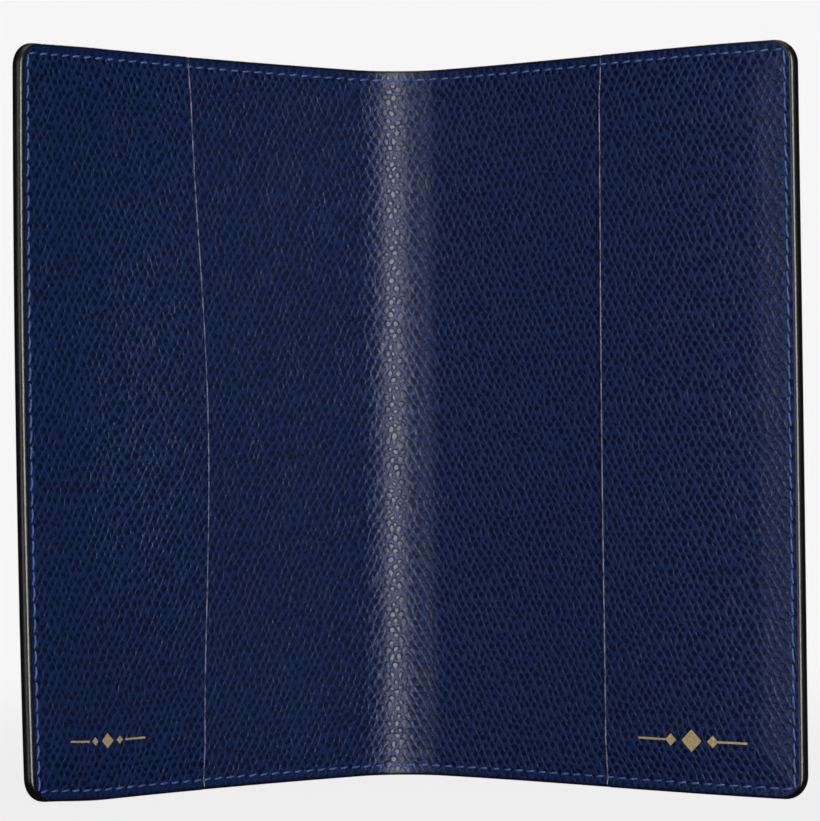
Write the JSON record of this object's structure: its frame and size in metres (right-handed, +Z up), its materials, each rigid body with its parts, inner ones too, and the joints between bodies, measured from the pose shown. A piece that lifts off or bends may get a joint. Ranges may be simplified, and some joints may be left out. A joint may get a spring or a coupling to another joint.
{
  "type": "passport holder",
  "caption": "Folding leather passport holder with a sewn pocket in each cover, standing half open on its lower edge.",
  "frame": {"origin": "centre of the bounding box of the half-open holder, at its lower edge", "axes": "+Z up along the spine, +Y toward the spine's outside, +X to the right when looking at the inside faces"},
  "size_m": [0.1448, 0.0658, 0.14],
  "materials": {
    "outer_leather": "navy, embossed with a pebble grain",
    "lining_leather": "navy, embossed with a pebble grain",
    "pocket_leather": "navy, embossed with a pebble grain",
    "board": "plain pressed board",
    "tape": "plain woven tape",
    "edge_paint": "black satin edge paint",
    "pocket_edge_paint": "thin grey-blue edge coat",
    "thread": "blue waxed polyester thread",
    "gold_foil": "gold hot-stamping foil"
  },
  "bodies": {
    "spine": {"lining_spine": "lining_leather", "spine_tape": "tape", "outer_leather_spine": "outer_leather", "edge_paint_spine": "edge_paint", "inside_stitches_spine": "thread", "outside_stitches_spine": "thread"},
    "left_cover": {"lining_left": "lining_leather", "cover_board_left": "board", "outer_leather_left": "outer_leather", "pocket_panel_left": "pocket_leather", "pocket_edge_left": "pocket_edge_paint", "edge_paint_left": "edge_paint", "inside_stitches_left": "thread", "outside_stitches_left": "thread", "foil_stamp_left": "gold_foil"},
    "right_cover": {"lining_right": "lining_leather", "cover_board_right": "board", "outer_leather_right": "outer_leather", "pocket_panel_right": "pocket_leather", "pocket_edge_right": "pocket_edge_paint", "edge_paint_right": "edge_paint", "inside_stitches_right": "thread", "outside_stitches_right": "thread", "foil_stamp_right": "gold_foil"}
  },
  "joints": [
    {"name": "left_fold", "type": "hinge", "parent": "spine", "child": "left_cover", "pos_m": [-0.00659, 0.03092, 0.07], "axis": [0, 0, 1], "range_deg": [-44.5, 45.5]},
    {"name": "right_fold", "type": "hinge", "parent": "spine", "child": "right_cover", "pos_m": [0.00241, 0.03092, 0.07], "axis": [0, 0, -1], "range_deg": [-40.5, 49.5]}
  ]
}
